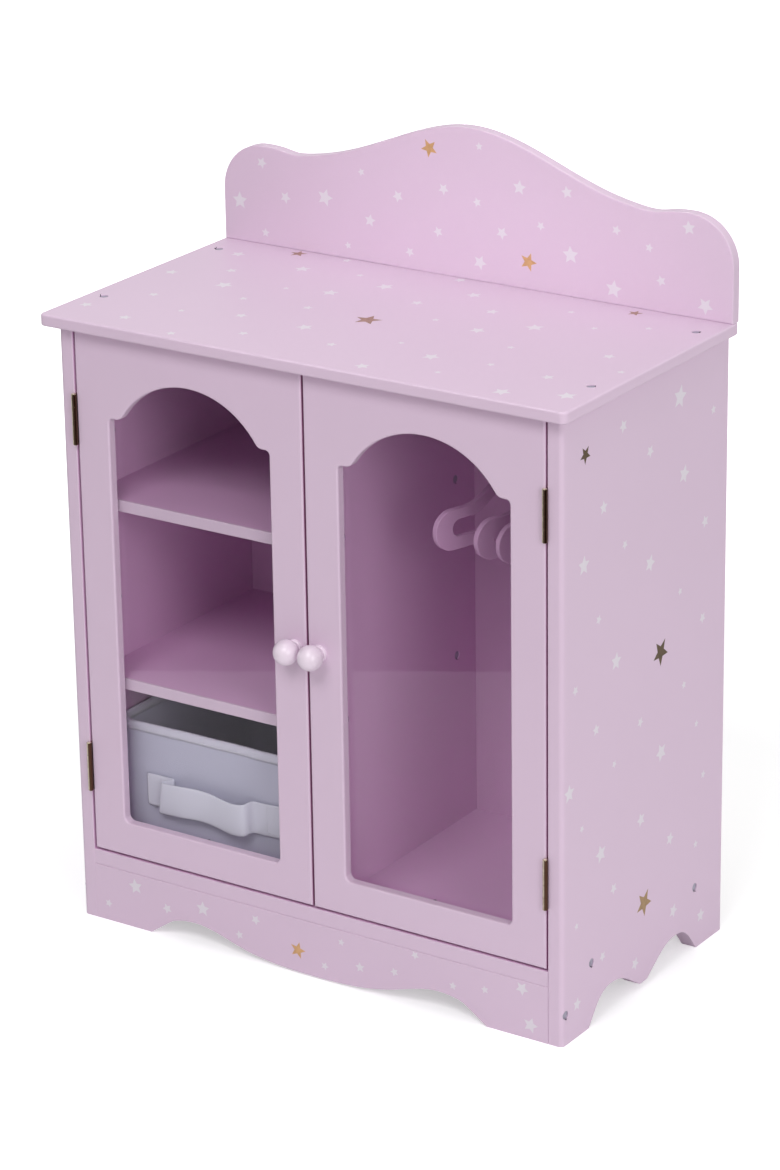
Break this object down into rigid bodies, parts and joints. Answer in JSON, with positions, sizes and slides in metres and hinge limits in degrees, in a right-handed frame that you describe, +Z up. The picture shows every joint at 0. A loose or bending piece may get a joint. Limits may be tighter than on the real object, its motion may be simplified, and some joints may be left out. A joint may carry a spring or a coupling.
{
  "type": "doll closet",
  "caption": "Doll closet with a scalloped backboard, glazed arched doors, shelves, a hanging rail with hangers and a cloth bin",
  "frame": {"origin": "on the floor, under the middle of the closet's bounding box, knobs included", "axes": "+X to the right seen from the front, +Y from front to back, +Z up"},
  "size_m": [0.4404, 0.248, 0.5898],
  "materials": {
    "lilac_paint": "satin lilac paint with small scattered stars on the outer boards",
    "back_board": "thin board, painted",
    "hanger_paint": "satin lilac paint",
    "knob_gloss": "gloss lilac paint",
    "clear_pane": "clear, polished",
    "hinge_brass": "antique brass",
    "screw_steel": "zinc-plated steel",
    "bin_cloth": "grey-lilac woven cloth",
    "bin_binding": "pale satin binding and ribbon",
    "catch_plastic": "matt white",
    "strike_steel": "plain steel"
  },
  "bodies": {
    "cabinet": {"left_side_panel": "lilac_paint", "right_side_panel": "lilac_paint", "divider": "lilac_paint", "bottom_board": "lilac_paint", "lower_shelf": "lilac_paint", "upper_shelf": "lilac_paint", "front_apron": "lilac_paint", "top_board": "lilac_paint", "backboard": "lilac_paint", "hanging_rail": "lilac_paint", "back_panel": "back_board", "left_catch": "catch_plastic", "left_lower_hinge_frame_leaf": "hinge_brass", "left_lower_hinge_pin": "hinge_brass", "left_upper_hinge_frame_leaf": "hinge_brass", "left_upper_hinge_pin": "hinge_brass", "right_catch": "catch_plastic", "right_lower_hinge_frame_leaf": "hinge_brass", "right_lower_hinge_pin": "hinge_brass", "right_upper_hinge_frame_leaf": "hinge_brass", "right_upper_hinge_pin": "hinge_brass", "hinge_frame_screws": "hinge_brass", "case_screws": "screw_steel", "backboard_screws": "screw_steel", "back_panel_screws": "screw_steel", "catch_screws": "screw_steel"},
    "left_door": {"left_door_frame": "lilac_paint", "left_door_pane": "clear_pane", "left_pane_screws": "screw_steel", "left_knob": "knob_gloss", "left_knob_screw": "screw_steel", "left_lower_hinge_door_leaf": "hinge_brass", "left_upper_hinge_door_leaf": "hinge_brass", "left_strike_plate": "strike_steel", "left_door_small_screws": "hinge_brass"},
    "right_door": {"right_door_frame": "lilac_paint", "right_door_pane": "clear_pane", "right_pane_screws": "screw_steel", "right_knob": "knob_gloss", "right_knob_screw": "screw_steel", "right_lower_hinge_door_leaf": "hinge_brass", "right_upper_hinge_door_leaf": "hinge_brass", "right_strike_plate": "strike_steel", "right_door_small_screws": "hinge_brass"},
    "inner_hanger_body": {"inner_hanger": "hanger_paint"},
    "middle_hanger_body": {"middle_hanger": "hanger_paint"},
    "outer_hanger_body": {"outer_hanger": "hanger_paint"},
    "bin": {"storage_bin": "bin_cloth", "bin_rim": "bin_binding", "bin_handle": "bin_binding"}
  },
  "joints": [
    {"name": "left_door_hinge", "type": "hinge", "parent": "cabinet", "child": "left_door", "pos_m": [-0.1986, -0.105, 0.26075], "axis": [0, 0, -1], "range_deg": [0, 175]},
    {"name": "right_door_hinge", "type": "hinge", "parent": "cabinet", "child": "right_door", "pos_m": [0.1986, -0.105, 0.26075], "axis": [0, 0, 1], "range_deg": [0, 175]},
    {"name": "inner_hanger_swing", "type": "hinge", "parent": "cabinet", "child": "inner_hanger_body", "pos_m": [0.1023, 0.01, 0.418], "axis": [1, 0, 0], "range_deg": [-20, 20]},
    {"name": "middle_hanger_swing", "type": "hinge", "parent": "cabinet", "child": "middle_hanger_body", "pos_m": [0.1362, 0.01, 0.418], "axis": [1, 0, 0], "range_deg": [-20, 20]},
    {"name": "outer_hanger_swing", "type": "hinge", "parent": "cabinet", "child": "outer_hanger_body", "pos_m": [0.1543, 0.01, 0.418], "axis": [1, 0, 0], "range_deg": [-20, 20]},
    {"name": "bin_slide", "type": "slide", "parent": "cabinet", "child": "bin", "axis": [0, -1, 0], "range_m": [-0.0045, 0.0045]}
  ]
}
